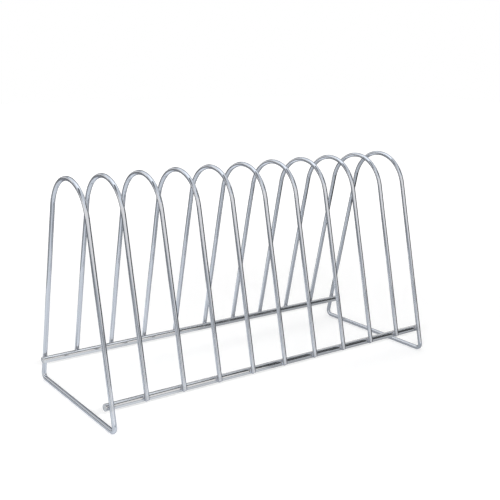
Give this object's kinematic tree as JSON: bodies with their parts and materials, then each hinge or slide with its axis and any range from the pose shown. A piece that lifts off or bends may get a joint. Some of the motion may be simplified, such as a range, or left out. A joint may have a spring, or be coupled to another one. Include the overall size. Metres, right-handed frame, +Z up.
{
  "type": "record display stand",
  "caption": "Chrome plated wire stand: arched hoops welded on two rails hold flat round discs upright side by side, on two foot bars.",
  "frame": {"origin": "on the surface that the stand rests on, under the middle hoop, halfway between the two rails", "axes": "+X along the rails, from the left end frame to the right one; +Y from the front rail to the rear rail; +Z up"},
  "size_m": [0.351, 0.1446, 0.195],
  "materials": {
    "hoop_wire": "bright chrome plate on round steel wire",
    "rail_rod": "bright chrome plate on round steel rod",
    "weld_metal": "chrome plate over a slightly rough weld bead"
  },
  "bodies": {
    "root": {"front_rail": "rail_rod", "rear_rail": "rail_rod", "left_end_frame": "hoop_wire", "right_end_frame": "hoop_wire", "hoop_1": "hoop_wire", "hoop_2": "hoop_wire", "hoop_3": "hoop_wire", "hoop_4": "hoop_wire", "hoop_5": "hoop_wire", "hoop_6": "hoop_wire", "hoop_7": "hoop_wire", "hoop_8": "hoop_wire", "hoop_9": "hoop_wire", "front_rail_welds": "weld_metal", "rear_rail_welds": "weld_metal", "foot_bar_butt_welds": "weld_metal"}
  },
  "joints": []
}
